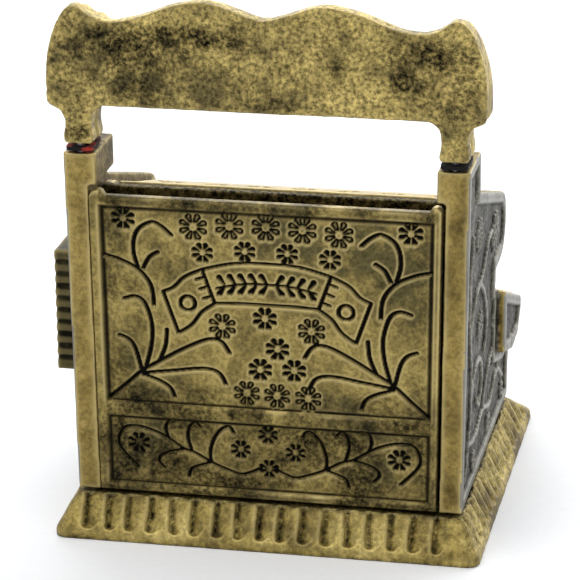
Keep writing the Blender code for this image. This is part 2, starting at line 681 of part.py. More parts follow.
def drawer():
    half = DRAWER_WIDTH / 2
    front = CASE_DEPTH - GAP
    side_top = DRAWER_BOTTOM + DRAWER_SIDE_HEIGHT
    rear_top = SHELF_BOTTOM - GAP
    tray = block("drawer_tray", (-half, depth(front), DRAWER_BOTTOM), (half, depth(DRAWER_REAR), rear_top),
                 DARK_BRASS)
    above = block("tray_above_sides", (-half - MM, depth(front + MM), side_top),
                  (half + MM, depth(DRAWER_REAR_INSIDE), rear_top + MM))
    combine(tray, above)
    inside = block("tray_inside",
                   (-half + DRAWER_WALL, depth(front - DRAWER_WALL), DRAWER_BOTTOM + DRAWER_WALL),
                   (half - DRAWER_WALL, depth(DRAWER_REAR_INSIDE), rear_top + 2 * MM))
    combine(tray, inside)
    face_rear = front + GAP
    face = block("drawer_front", (-half, depth(face_rear + DRAWER_FRONT), DRAWER_BOTTOM),
                 (half, depth(face_rear), SHELF_BOTTOM - GAP), BRASS, bevel=0.3 * MM)
    knob_z = (DRAWER_BOTTOM + SHELF_BOTTOM) / 2
    stem_end = face_rear - DRAWER_WALL - 1.2 * MM
    hole_middle = (0, depth(face_rear), knob_z)
    stem_hole = rod("knob_hole", hole_middle, KNOB_STEM + PIN_GAP, 12 * MM, "Y", sides=16)
    combine(face, stem_hole)
    tray_hole = rod("tray_knob_hole", hole_middle, KNOB_STEM + PIN_GAP, 12 * MM, "Y", sides=16)
    combine(tray, tray_hole)
    base = face_rear + DRAWER_FRONT + GAP
    tip = base + KNOB_LENGTH
    neck = KNOB_RADIUS * 0.5
    profile = [
        (0, tip), (KNOB_RADIUS * 0.55, tip - 0.1 * MM), (KNOB_RADIUS * 0.9, tip - 0.5 * MM),
        (KNOB_RADIUS, tip - 1.1 * MM), (KNOB_RADIUS * 0.85, tip - 1.7 * MM),
        (neck, tip - 2.2 * MM), (neck, base), (KNOB_STEM, base), (KNOB_STEM, stem_end),
        (0, stem_end)]
    knob = turned("drawer_knob", profile, KEY_BRASS)
    knob.rotation_euler = (math.pi / 2, 0, 0)
    knob.location = (0, CASE_REAR, knob_z)
    return tray


# ---------------------------------------------------------------- keyboard

def slope_place(along, out):
    """Distance and height of a place on the cheeks' slope, out along its normal."""
    distance = KEYBOARD_REAR + along * math.cos(KEY_SLOPE) + out * math.sin(KEY_SLOPE)
    height = KEYBOARD_TOP - along * math.sin(KEY_SLOPE) + out * math.cos(KEY_SLOPE)
    return distance, height


def keyboard():
    half = INNER_WIDTH / 2 - GAP
    length = (KEYBOARD_DEPTH - KEYBOARD_REAR) / math.cos(KEY_SLOPE)
    top = -KEYBOARD_SUNK
    low = top - KEYBOARD_THICKNESS
    floor = SHELF_TOP + GAP
    nose = KEYBOARD_DEPTH - KEYBOARD_NOSE
    front_top = slope_place(length - KEYBOARD_ROUND, top)
    outer = [
        (KEYBOARD_REAR + GAP, floor),
        (KEYBOARD_REAR + GAP, slope_place(2 * GAP, top)[1]),
        front_top,
        (nose, front_top[1] - KEYBOARD_ROUND_DROP),
        (nose, KEYBOARD_EDGE - LEDGE_EDGE),
        (CASE_DEPTH + GAP, KEYBOARD_EDGE - LEDGE_EDGE),
        (CASE_DEPTH + GAP, SHELF_BOTTOM),
        (SHELF_FRONT + GAP, SHELF_BOTTOM),
        (SHELF_FRONT + GAP, floor),
    ]
    outline = [(depth(distance), height) for distance, height in outer]
    board = outline_solid("keyboard", [outline], 2 * half, "YZ", 0, BRASS)
    spread(board)
    wall = KEYBOARD_THICKNESS
    inner = [
        (KEYBOARD_REAR + GAP + wall, SHELF_BOTTOM - MM),
        (KEYBOARD_REAR + GAP + wall, slope_place(wall, low)[1]),
        slope_place(length - KEYBOARD_ROUND, low),
        (CASE_DEPTH + GAP - wall, slope_place(length - KEYBOARD_ROUND, low)[1] - GAP),
        (CASE_DEPTH + GAP - wall, SHELF_BOTTOM - MM),
    ]
    hollow = outline_solid("keyboard_hollow", [[(depth(d), z) for d, z in inner]],
                           2 * half - 2 * wall, "YZ", 0)
    combine(board, hollow)
    return board


def key_profile():
    """Key along its own axis, with zero at the plate's upper face."""
    head = GAP + KEY_TRAVEL
    top = head + KEY_HEAD
    under = -KEYBOARD_THICKNESS - GAP
    end = under - KEY_FLARE_HEIGHT
    return [
        (0, top - 0.35 * MM), (KEY_RADIUS * 0.75, top - 0.3 * MM), (KEY_RADIUS * 0.85, top),
        (KEY_RADIUS, top - 0.3 * MM), (KEY_RADIUS, head + 0.2 * MM), (KEY_RADIUS - 0.2 * MM, head),
        (KEY_STEM, head), (KEY_STEM, under), (KEY_FLARE, under), (KEY_FLARE, end), (0, end)]


def keys(board):
    length = (KEYBOARD_DEPTH - KEYBOARD_REAR) / math.cos(KEY_SLOPE)
    first = (length - KEY_ROW_PITCH) / 2
    for row in range(KEY_ROWS):
        distance, height = slope_place(first + row * KEY_ROW_PITCH, -KEYBOARD_SUNK)
        for column in range(KEY_COLUMNS):
            x = (column - (KEY_COLUMNS - 1) / 2) * KEY_PITCH
            number = row * KEY_COLUMNS + column + 1
            key = turned(f"key_{number}", key_profile(), KEY_BRASS, segments=20)
            key.location = (x, depth(distance), height)
            key.rotation_euler = (KEY_SLOPE, 0, 0)
            hole = rod(f"key_hole_{number}", (0, 0, 0), KEY_STEM + PIN_GAP, 12 * MM, sides=20)
            hole.location = key.location
            hole.rotation_euler = key.rotation_euler
            combine(board, hole)


# ---------------------------------------------------------------- sharpener

def bore_radius(x):
    """Radius of the pencil bore at a place along the sharpener."""
    share = (x - SHARPENER_REACH + SHARPENER_LENGTH) / SHARPENER_LENGTH
    return PENCIL_POINT + (PENCIL_RADIUS - PENCIL_POINT) * share


def grip_grooves(rear):
    """Horizontal grooves in the rear face of the end that sticks out of the case."""
    bm = bmesh.new()
    start = CASE_WIDTH / 2 + 1.2 * MM
    length = SHARPENER_REACH - start + MM
    pitch = SHARPENER_HEIGHT / (GRIP_RIBS + 1)
    for rib in range(GRIP_RIBS):
        height = SHARPENER_BOTTOM + (rib + 1) * pitch
        place = Matrix.Translation((start + length / 2, rear, height)) @ AXIS_TURN["X"]
        bmesh.ops.create_cone(bm, cap_ends=True, segments=4, radius1=GRIP_RIB, radius2=GRIP_RIB,
                              depth=length, matrix=place)
    return new_object("grip_grooves", mesh_from(bm, "grip_grooves"))


def sharpener():
    inner_end = SHARPENER_REACH - SHARPENER_LENGTH
    rear = depth(SHARPENER_SETBACK)
    front = depth(SHARPENER_SETBACK + SHARPENER_THICKNESS)
    low = (inner_end, front, SHARPENER_BOTTOM)
    high = (SHARPENER_REACH, rear, SHARPENER_BOTTOM + SHARPENER_HEIGHT)
    body = block("sharpener_body", low, high, DARK_BRASS)
    axis_y = (rear + front) / 2
    bore = rod("pencil_bore", (SHARPENER_REACH - SHARPENER_LENGTH / 2, axis_y, SHARPENER_AXIS),
               PENCIL_POINT, SHARPENER_LENGTH + 0.02 * MM, "X", end_radius=PENCIL_RADIUS, sides=32)
    combine(body, bore)
    combine(body, grip_grooves(rear))
    blade_on(body, inner_end, axis_y)
    return body


def blade_on(body, inner_end, axis_y):
    """Mills a seat along the bore's flank and puts the blade and its screw on it."""
    middle = inner_end + (SHARPENER_LENGTH - GRIP_END) / 2
    seat = bpy.data.objects.new("blade_seat", None)
    PARTS.objects.link(seat)
    seat.location = (middle, axis_y - bore_radius(middle) + BLADE_BITE, SHARPENER_AXIS)
    seat.rotation_euler.z = -math.atan2(PENCIL_RADIUS - PENCIL_POINT, SHARPENER_LENGTH)
    half = (SHARPENER_LENGTH - GRIP_END) / 2
    milled = block("blade_milling", (-half - 3 * MM, -20 * MM, -SHARPENER_HEIGHT),
                   (half, 0, SHARPENER_HEIGHT))
    blade_half = BLADE_LENGTH / 2
    blade = block("sharpener_blade", (-blade_half, -GAP - BLADE_THICKNESS, 0),
                  (blade_half, -GAP, BLADE_WIDTH), STEEL)
    screw_z = BLADE_WIDTH * 0.62
    blade_hole = rod("blade_hole", (0, 0, screw_z), BLADE_SCREW_RADIUS + PIN_GAP, 10 * MM, "Y")
    body_hole = rod("blade_screw_hole", (0, 0, screw_z), BLADE_SCREW_RADIUS + PIN_GAP,
                    2 * BLADE_SCREW_LENGTH + 2 * GAP, "Y")
    face = GAP + BLADE_THICKNESS + GAP
    screw = turned("blade_screw", [
        (0, face + SCREW_HEAD), (SCREW_HEAD_RADIUS, face + SCREW_HEAD), (SCREW_HEAD_RADIUS, face),
        (BLADE_SCREW_RADIUS, face), (BLADE_SCREW_RADIUS, -BLADE_SCREW_LENGTH),
        (0, -BLADE_SCREW_LENGTH)], STEEL)
    screw.rotation_euler.x = math.pi / 2
    screw.location.z = screw_z
    for piece in (milled, blade, blade_hole, body_hole, screw):
        piece.parent = seat
    combine(body, milled)
    combine(body, body_hole)
    combine(blade, blade_hole)


def front_panel():
    """Upright plate between the hood and the keyboard, which closes the case."""
    half = INNER_WIDTH / 2 - GAP
    low = (-half, depth(KEYBOARD_REAR), SHELF_TOP + GAP)
    high = (half, depth(KEYBOARD_REAR - FRONT_PANEL_THICKNESS), HOOD_NOSE_HEIGHT + FRONT_PANEL_LAP)
    return spread(block("front_panel", low, high, BRASS))


base_plinth()
bottom_plate()
right_wall = side_wall(1, "right")
side_wall(-1, "left")
window = block("sharpener_window",
               (0, depth(SHARPENER_SETBACK + SHARPENER_THICKNESS + GAP), SHARPENER_BOTTOM - GAP),
               (SHARPENER_REACH + MM, depth(SHARPENER_SETBACK - GAP),
                SHARPENER_BOTTOM + SHARPENER_HEIGHT + GAP))
combine(right_wall, window)
rear_panel()
hood()
front_panel()
crest_layer("rear", CREST_LAYER)
crest_layer("front", CREST_FRONT_LAYER)
crest_joints()
shelf()
drawer()
keys(keyboard())
sharpener()
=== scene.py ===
"""Looks of the miniature cash register: cast, engraved and patinated antique brass."""

import math

import bmesh
import bpy
import numpy as np
from mathutils import Matrix, Vector, noise


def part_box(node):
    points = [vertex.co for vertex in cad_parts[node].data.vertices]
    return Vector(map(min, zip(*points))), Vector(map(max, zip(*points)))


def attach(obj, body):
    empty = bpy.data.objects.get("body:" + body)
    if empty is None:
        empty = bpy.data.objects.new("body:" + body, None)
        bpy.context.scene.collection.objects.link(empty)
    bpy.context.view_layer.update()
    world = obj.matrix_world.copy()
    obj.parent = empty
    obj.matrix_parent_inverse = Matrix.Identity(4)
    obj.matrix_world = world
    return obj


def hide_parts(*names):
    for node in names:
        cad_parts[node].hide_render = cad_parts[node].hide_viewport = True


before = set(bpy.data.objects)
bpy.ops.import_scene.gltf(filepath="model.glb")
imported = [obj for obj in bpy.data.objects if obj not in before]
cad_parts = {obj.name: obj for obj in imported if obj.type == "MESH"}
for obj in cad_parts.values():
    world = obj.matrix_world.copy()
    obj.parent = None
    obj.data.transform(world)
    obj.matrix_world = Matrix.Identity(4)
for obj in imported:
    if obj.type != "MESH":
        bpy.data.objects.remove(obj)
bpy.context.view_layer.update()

MM = 0.001

# ---------------------------------------------------------------- frame

CASE_HALF = 22.6 * MM       # half width of the case at its foot
CASE_FOOT = 5.2 * MM
CASE_SPREAD = 0.0146        # lean of each side

panel_low, panel_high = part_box("rear_panel")
plinth_low, plinth_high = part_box("base_plinth")
crest_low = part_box("crest_rear")[0]
hood_low, hood_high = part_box("hood")


def lean(z):
    """How much wider the case is at a height than at its foot, as its sides lean out."""
    return 1 + CASE_SPREAD * (z - CASE_FOOT) / CASE_HALF


# ---------------------------------------------------------------- materials

def colour(code):
    """Linear RGBA of an sRGB hex colour."""
    channels = [int(code[i:i + 2], 16) / 255 for i in (1, 3, 5)]
    linear = [c / 12.92 if c <= 0.04045 else ((c + 0.055) / 1.055) ** 2.4 for c in channels]
    return (*linear, 1.0)


def add(tree, kind, settings=None, out=0, **links):
    """Adds a node with its settings and gives back one of its outputs.

    A link is named for its socket (or i and the socket's number) and holds a value or
    another node's output.
    """
    node = tree.nodes.new(kind)
    for key, value in (settings or {}).items():
        setattr(node, key, value)
    for key, value in links.items():
        name = key.replace("_", " ")
        numbered = key[0] == "i" and key[1:].isdigit()
        socket = node.inputs[int(key[1:]) if numbered else name]
        if isinstance(value, bpy.types.NodeSocket):
            tree.links.new(value, socket)
        else:
            socket.default_value = value
    return node.outputs[out]


# This colour also stands as painted highlight on the back panel's upward-facing walls.
EDGE_BRASS = "#C0AE76"     # where edges have rubbed through to bright plating
# Black of the blackening, also used for painted shade.
SOOT_AND_SHADE = "#0D0B08"
LUMP = 0.6                 # a noise of scale LUMP / size has lumps about size across
TIMES = {"operation": "MULTIPLY"}
PLUS = {"operation": "ADD"}
LARGER = {"operation": "MAXIMUM", "use_clamp": True}
BLEND = {"data_type": "RGBA"}
TINT = {"data_type": "RGBA", "blend_type": "MULTIPLY"}


def new_material(name, metal, rough, specular=0.25):
    """A material with one shader; gives back the material, its tree and the shader."""
    made = bpy.data.materials.new(name)
    made.use_nodes = True
    shader = made.node_tree.nodes["Principled BSDF"]
    shader.inputs["Metallic"].default_value = metal
    shader.inputs["Roughness"].default_value = rough
    shader.inputs["Specular IOR Level"].default_value = specular
    return made, made.node_tree, shader


def cast_brass(name, bright, body, shade, blotches, gritty=0.5, rough=0.44, metal=0.85,
               edge=EDGE_BRASS):
    """Antiqued die-cast brass: plated, blackened, then rubbed back.

    The rubbed metal is a satin olive gold with a fine grit. Blackening stays in the
    engraving, in the pits and in soft clouds, and wear leaves raised edges brighter. The
    blackening attribute also holds painted shade on some pieces, and the wear attribute holds
    painted highlight on the back panel's upward-facing walls.
    blotches is how much of the blackening stays on the open faces and gritty how
    strongly the mould's sand shows, both from 0 to 1. The sand is about 0.1 mm in the
    real casting and is drawn at 0.3 mm, which is the finest that shows.
    """
    made, tree, shader = new_material(name, metal, rough)
    place = add(tree, "ShaderNodeTexCoord", out="Object")
    # Blackening attribute: patina in hollows and, on some pieces, painted shade.
    stain_and_shade = add(tree, "ShaderNodeAttribute", {"attribute_name": "patina_and_shade"}, "Fac")
    # The wear attribute holds rubbed edges and, on the back panel, painted highlight.
    worn_and_lit = add(tree, "ShaderNodeAttribute", {"attribute_name": "wear_and_highlight"}, "Fac")
    engraved = add(tree, "ShaderNodeAttribute", {"attribute_name": "engraving"}, "Fac")

    cloudy = add(tree, "ShaderNodeTexNoise", Vector=place, Scale=LUMP / (6.0 * MM), Detail=3.0,
                 Roughness=0.6)
    mottled = add(tree, "ShaderNodeTexNoise", Vector=place, Scale=LUMP / (1.3 * MM), Detail=4.0,
                  Roughness=0.65)
    grit = add(tree, "ShaderNodeTexNoise", Vector=place, Scale=LUMP / (0.3 * MM), Detail=3.0,
               Roughness=0.7)
    tone = add(tree, "ShaderNodeMix", i0=0.4, i2=cloudy, i3=mottled)
    darker = add(tree, "ShaderNodeMapRange", Value=tone, From_Min=0.4, From_Max=0.5)
    lighter = add(tree, "ShaderNodeMapRange", Value=tone, From_Min=0.5, From_Max=0.62)
    plating = add(tree, "ShaderNodeMix", BLEND, 2, i0=darker, i6=colour(shade), i7=colour(body))
    plating = add(tree, "ShaderNodeMix", BLEND, 2, i0=lighter, i6=plating, i7=colour(bright))
    speck = add(tree, "ShaderNodeMapRange", Value=grit, From_Min=0.36, From_Max=0.64,
                To_Min=1 - 0.7 * gritty, To_Max=1 + 0.7 * gritty)
    plating = add(tree, "ShaderNodeMix", TINT, 2, i0=1.0, i6=plating, i7=speck)
    bare_and_lit = add(tree, "ShaderNodeMath", TIMES, i0=worn_and_lit, i1=0.8)
    plating = add(tree, "ShaderNodeMix", BLEND, 2, i0=bare_and_lit, i6=plating, i7=colour(edge))

    clouds = add(tree, "ShaderNodeMix", i0=0.3, i2=cloudy, i3=mottled)
    start = 0.62 - 0.16 * blotches
    darkening = add(tree, "ShaderNodeMapRange", Value=clouds, From_Min=start, From_Max=start + 0.14,
               To_Max=0.35 + 0.5 * blotches)
    uneven = add(tree, "ShaderNodeMapRange", Value=mottled, From_Min=0.35, From_Max=0.6,
                 To_Min=1.2, To_Max=0.8)
    stain_and_shade = add(tree, "ShaderNodeMath", TIMES, i0=stain_and_shade, i1=uneven)
    dark = add(tree, "ShaderNodeMath", LARGER, i0=stain_and_shade, i1=darkening)
    rubbed = add(tree, "ShaderNodeMapRange", Value=grit, From_Min=0.4, From_Max=0.66,
                 To_Min=1.0, To_Max=0.45)
    dark = add(tree, "ShaderNodeMath", TIMES, i0=dark, i1=rubbed)
    dark = add(tree, "ShaderNodeMath", LARGER, i0=dark, i1=engraved)
    surface = add(tree, "ShaderNodeMix", BLEND, 2, i0=dark, i6=plating, i7=colour(SOOT_AND_SHADE))
    tree.links.new(surface, shader.inputs["Base Color"])

    shine = add(tree, "ShaderNodeMapRange", Value=grit, From_Min=0.0, From_Max=1.0,
                To_Min=rough - 0.15, To_Max=rough + 0.15)
    sooted = add(tree, "ShaderNodeMath", TIMES, i0=dark, i1=0.3)
    shine = add(tree, "ShaderNodeMath", PLUS, i0=shine, i1=sooted)
    tree.links.new(shine, shader.inputs["Roughness"])
    height = add(tree, "ShaderNodeMix", i0=0.55, i2=grit, i3=mottled)
    bump = add(tree, "ShaderNodeBump", Strength=0.7, Distance=0.19 * MM, Height=height)
    tree.links.new(bump, shader.inputs["Normal"])
    return made


def brushed_steel(name):
    """Ground blade steel: fine straight grinding lines along its length."""
    made, tree, shader = new_material(name, 1.0, 0.32, 0.5)
    place = add(tree, "ShaderNodeTexCoord", out="Object")
    stretched = add(tree, "ShaderNodeMapping", Vector=place, Scale=(60.0, 4000.0, 4000.0))
    lines = add(tree, "ShaderNodeTexNoise", Vector=stretched, Scale=1.0, Detail=3.0)
    share = add(tree, "ShaderNodeMapRange", Value=lines, From_Min=0.3, From_Max=0.7)
    tint = add(tree, "ShaderNodeMix", BLEND, 2, i0=share, i6=colour("#8E8F92"),
               i7=colour("#C4C5C7"))
    tree.links.new(tint, shader.inputs["Base Color"])
    shine = add(tree, "ShaderNodeMapRange", Value=share, To_Min=0.24, To_Max=0.4)
    tree.links.new(shine, shader.inputs["Roughness"])
    bump = add(tree, "ShaderNodeBump", Strength=0.2, Distance=0.02 * MM, Height=lines)
    tree.links.new(bump, shader.inputs["Normal"])
    return made


def fibre_in_painted_shade(name):
    """Red washer fibre darkened by painted shade in its seam: matt, red only where the painted
    shade thins out.
    """
    made, tree, shader = new_material(name, 0.0, 0.8)
    place = add(tree, "ShaderNodeTexCoord", out="Object")
    darkening = add(tree, "ShaderNodeAttribute", {"attribute_name": "patina_and_shade"}, "Fac")
    fibres = add(tree, "ShaderNodeTexNoise", Vector=place, Scale=LUMP / (0.2 * MM), Detail=4.0,
                 Roughness=0.7)
    patches = add(tree, "ShaderNodeTexNoise", Vector=place, Scale=LUMP / (0.9 * MM), Detail=3.0,
                  Roughness=0.6)
    share = add(tree, "ShaderNodeMapRange", Value=fibres, From_Min=0.35, From_Max=0.75)
    red = add(tree, "ShaderNodeMix", BLEND, 2, i0=share, i6=colour("#7E1414"), i7=colour("#C44A3C"))
    edge = add(tree, "ShaderNodeMath", PLUS, i0=patches, i1=darkening)
    cover = add(tree, "ShaderNodeMapRange", Value=edge, From_Min=0.72, From_Max=0.84)
    surface = add(tree, "ShaderNodeMix", BLEND, 2, i0=cover, i6=red, i7=colour("#0E0B09"))
    tree.links.new(surface, shader.inputs["Base Color"])
    bump = add(tree, "ShaderNodeBump", Strength=0.4, Distance=0.05 * MM, Height=fibres)
    tree.links.new(bump, shader.inputs["Normal"])
    return made


PANEL_BRASS = cast_brass("engraved_antique_brass", "#A69458", "#867645", "#585031", 0.25, 0.5)
FRAME_BRASS = cast_brass("rubbed_antique_brass", "#9F8B51", "#86733F", "#64552D", 0.15, 0.4)
CREST_BRASS = cast_brass("rough_cast_antique_brass", "#BFAB69", "#9A8952", "#5F5534", 0.35, 0.95,
                         0.5)
PLINTH_BRASS = cast_brass("ribbed_antique_brass", "#C2AF6E", "#9C8A4D", "#695A33", 0.15, 0.5)
# Outward faces of the side castings: the brass greyed to a cool silver is painted reflection of the
# bright room, not a plating.
SIDE_REFLECTION_BRASS = cast_brass("brass_with_painted_reflection", "#777468", "#565347", "#343128", 0.4, 0.6, 0.4,
                        edge="#918E83")
INNER_BRASS = cast_brass("blackened_brass", "#4E4A2C", "#36331F", "#1E1B11", 0.5, 0.6, 0.6)
KEY_BRASS = cast_brass("polished_key_brass", "#BCA865", "#9E8A4E", "#776737", 0.1, 0.3, 0.36)
BLADE_STEEL = brushed_steel("ground_blade_steel")
SEAM_FIBRE = fibre_in_painted_shade("red_vulcanised_fibre_in_painted_shade")


# ---------------------------------------------------------------- drawing the engraving

def flow(points, steps=8):
    """Points along a smooth stroke through given points (Catmull-Rom)."""
    padded = [points[0], *points, points[-1]]
    line = []
    for a, b, c, d in zip(padded, padded[1:], padded[2:], padded[3:]):
        for i in range(steps):
            t = i / steps
            line.append([0.5 * (2 * q + (r - p) * t + (2 * p - 5 * q + 4 * r - s) * t**2
                                + (3 * q - p - 3 * r + s) * t**3)
                         for p, q, r, s in zip(a, b, c, d)])
    return np.array([*line, points[-1]])


def distance_to(places, line):
    """Distance from each 2-D place to a line through points."""
    nearest = np.full(len(places), np.inf)
    for start, end in zip(line, line[1:]):
        along = end - start
        length = max(float(along @ along), 1e-12)
        share = np.clip(((places - start) @ along) / length, 0, 1)
        gap = places - start - share[:, None] * along
        nearest = np.minimum(nearest, np.hypot(gap[:, 0], gap[:, 1]))
    return nearest


def cut(depths, places, line, width, end_width=None, rise=0.0):
    """Deepens depths (0 to 1) along a line with a round-bottomed cut.

    It can widen to its end, and rise leaves that share of the metal standing in its middle.
    """
    line = np.asarray(line, float)
    reach = max(width, end_width or 0)
    near = np.all((places > line.min(0) - reach) & (places < line.max(0) + reach), axis=1)
    index = np.nonzero(near)[0]
    if len(index) == 0:
        return
    edge = 0.5 * width
    if end_width:
        way = line[-1] - line[0]
        share = np.clip(((places[index] - line[0]) @ way) / (way @ way), 0, 1)
        edge = 0.5 * (width + share * (end_width - width))
    gap = distance_to(places[index], line)
    profile = np.clip((edge + 0.09 - gap) / 0.18, 0, 1)
    profile = profile * profile * (3 - 2 * profile)
    profile -= rise * np.clip((edge - 0.2 - gap) / 0.1, 0, 1)
    depths[index] = np.maximum(depths[index], profile)


def flower(depths, places, centre, size, turn=22.5):
    """Eight drop-shaped petals round a plain eye; size is the flower's radius."""
    for petal in range(8):
        angle = math.radians(turn + 45 * petal)
        way = np.array([math.cos(angle), math.sin(angle)])
        inner = np.array(centre) + way * size * 0.42
        outer = np.array(centre) + way * size * 0.8
        cut(depths, places, [inner, outer], 0.3 * size, 0.52 * size,
            0.5 if size > 1.4 else 0.1)


def ring(centre, radius, steps=24):
    """Points round a circle."""
    angles = np.radians(np.linspace(0, 360, steps + 1))
    return np.array(centre) + radius * np.column_stack((np.cos(angles), np.sin(angles)))


def both_sides(line):
    """A line of the right half and its mirror image."""
    line = np.asarray(line, float)
    return [line, line * (-1, 1)]


# Strokes of one half of the back panel, in millimetres across from the middle and up from
# the base: a spray from each lower corner and a smaller one from each upper edge.
SPRAY = [
    [(18.9, 16.3), (16.6, 18.3), (14.5, 20.2), (12.6, 21.4), (9.6, 23.2), (6.8, 24.5),
     (5.2, 24.3), (4.3, 23.0)],
    [(14.3, 19.9), (11.0, 20.4), (7.4, 20.9), (5.6, 20.5), (4.8, 19.2)],
    [(14.5, 19.7), (12.6, 19.1), (11.3, 18.3), (10.8, 17.2)],
    [(14.1, 20.6), (13.4, 23.2), (13.2, 25.8), (13.9, 28.4), (15.0, 29.2), (16.3, 28.9)],
    [(14.6, 20.4), (15.2, 22.8), (15.9, 23.9), (17.0, 24.4)],
    [(12.4, 21.7), (11.7, 23.5), (11.5, 25.4)],
]
UPPER_SPRAY = [
    [(18.9, 34.1), (16.8, 33.6), (14.6, 32.5), (13.2, 30.7), (12.9, 28.3)],
    [(14.6, 32.7), (15.1, 34.9), (14.6, 37.1), (13.0, 38.2), (11.8, 37.8), (10.7, 36.8)],
    [(14.0, 32.7), (13.3, 34.0), (12.3, 34.7)],
]
RIBBON = [
    [(7.3, 32.9), (3.8, 33.8), (0, 34.0)],
    [(5.9, 28.9), (3.0, 29.05), (0, 29.05)],
    [(7.3, 32.9), (9.3, 31.9), (10.6, 30.6), (11.8, 30.0)],
    [(11.8, 30.0), (10.15, 25.1)],
    [(10.15, 25.1), (8.6, 26.2), (7.4, 27.8), (5.9, 28.9)],
    [(7.3, 32.9), (5.9, 28.9)],
]
# Flowers: across, up, and radius.
PAIRED_FLOWERS = [(4.1, 38.2, 1.6), (8.2, 37.9, 1.6), (5.1, 26.2, 1.55), (2.4, 35.3, 1.2),
                  (7.2, 34.9, 1.2), (16.15, 38.5, 1.35)]
LONE_FLOWERS = [(0, 38.3, 1.6), (0.2, 27.4, 1.35), (-1.2, 23.8, 1.35), (0.8, 21.2, 1.35),
                (-3.1, 21.3, 1.35), (2.4, 18.2, 1.5), (-1.1, 18.1, 1.5), (-4.7, 18.0, 1.5),
                (0, 13.2, 1.15), (-0.1, 9.0, 1.15)]
LOWER_SCROLL = [
    [(0.9, 9.0), (1.9, 8.5), (3.2, 8.1), (4.9, 8.6), (6.6, 9.3), (8.4, 10.3), (9.9, 10.8),
     (11.3, 11.7), (12.9, 12.6), (15.0, 13.2), (16.8, 13.0), (17.6, 11.7), (17.3, 10.3),
     (15.4, 8.2)],
    [(6.7, 9.3), (6.8, 10.7), (6.3, 12.4), (5.4, 13.6), (4.5, 13.9), (4.0, 13.2)],
    [(9.0, 10.7), (9.4, 12.3), (9.2, 13.6), (8.5, 14.1), (7.9, 13.6)],
    [(11.7, 12.0), (12.0, 13.2), (11.7, 14.0), (10.9, 14.3)],
    [(6.6, 9.3), (8.2, 8.8), (9.1, 8.3), (9.4, 7.4)],
    [(9.9, 10.7), (11.6, 10.3), (12.7, 9.7), (12.9, 9.0), (12.3, 8.3)],
]
LOWER_FLOWERS = [(15.2, 11.2, 1.3), (3.2, 11.2, 1.15)]


def engraved_panel(places):
    """Depth of the back panel's engraving, 0 to 1, at places in millimetres."""
    depths = np.zeros(len(places))
    for stroke in SPRAY + UPPER_SPRAY:
        for side in both_sides(flow(stroke)):
            cut(depths, places, side, 0.48)
    for stroke in RIBBON:
        for side in both_sides(flow(stroke)):
            cut(depths, places, side, 0.42)
    for start in (0.22, 0.5, 0.78):     # pleats where the ribbon folds back
        fold = np.array((7.3, 32.9)) * (1 - start) + np.array((5.9, 28.9)) * start
        for side in both_sides([fold, fold + (0.95, -0.35)]):
            cut(depths, places, side, 0.4)
    for side in both_sides([(9.0, 28.75)]):
        cut(depths, places, ring(side[0], 0.85), 0.45)
    sprig = flow([(-5.6, 30.75), (-2.8, 31.35), (0, 31.5), (2.8, 31.35), (5.6, 30.75)])
    cut(depths, places, sprig, 0.36)
    for leaf in range(-4, 5):
        middle = np.array((leaf * 1.2, 31.5 - 0.024 * leaf * leaf))
        lean = 0.55 if leaf >= 0 else -0.55
        for rise in (1, -1):
            cut(depths, places, [middle + (0, 0.2 * rise), middle + (lean, 0.98 * rise)], 0.3, 0.66)
    for stroke in LOWER_SCROLL:
        for side in both_sides(flow(stroke)):
            cut(depths, places, side, 0.44)
    for x, z, size in PAIRED_FLOWERS + LOWER_FLOWERS:
        for side in (1, -1):
            flower(depths, places, (side * x, z), size)
    for x, z, size in LONE_FLOWERS:
        flower(depths, places, (x, z), size)
    return depths


# ---------------------------------------------------------------- mesh tools

def coordinates(mesh):
    flat = np.empty(len(mesh.vertices) * 3)
    mesh.vertices.foreach_get("co", flat)
    return flat.reshape(-1, 3)


def place_vertices(mesh, points):
    mesh.vertices.foreach_set("co", points.ravel())
    mesh.update()


def paint(mesh, name, values):
    layer = mesh.attributes.get(name) or mesh.attributes.new(name, "FLOAT", "POINT")
    layer.data.foreach_set("value", np.clip(values, 0, 1).astype(np.float32))


def normals(mesh):
    flat = np.empty(len(mesh.vertices) * 3)
    mesh.vertex_normals.foreach_get("vector", flat)
    return flat.reshape(-1, 3)


def even_out(mesh, values, rounds):
    """Averages values over each vertex's neighbours, rounds times."""
    pairs = np.empty(len(mesh.edges) * 2, dtype=np.int64)
    mesh.edges.foreach_get("vertices", pairs)
    first, second = pairs.reshape(-1, 2).T
    size = len(mesh.vertices)
    count = np.bincount(pairs, minlength=size).clip(1)
    for _ in range(rounds):
        values = (np.bincount(first, values[second], size)
                  + np.bincount(second, values[first], size)) / count
    return values


def hollows(mesh, rounds):
    """How hollow (+) or raised (-) the surface is at each vertex, over about rounds cells."""
    points = coordinates(mesh)
    soft = np.column_stack([even_out(mesh, line, rounds) for line in points.T])
    return np.einsum("ij,ij->i", soft - points, normals(mesh))


def lumps(points, size, depth, seed):
    """Small irregular heights, as a sand-cast surface has."""
    shift = Vector((seed, seed * 0.37, seed * 0.71))
    return np.array([noise.noise(Vector(p) / size + shift) for p in points]) * depth


def finish_piece(name, mesh, material, body, *stands_for):
    """Makes the piece, shades it, and has it ride on its body and stand for its nodes."""
    piece = bpy.data.objects.new(name, mesh)
    bpy.context.scene.collection.objects.link(piece)
    mesh.materials.clear()
    mesh.materials.append(material)
    mesh.shade_smooth()
    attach(piece, body)
    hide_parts(*stands_for)
    return piece


def mesh_of(bm, name):
    mesh = bpy.data.meshes.new(name)
    bm.to_mesh(mesh)
    bm.free()
    return mesh


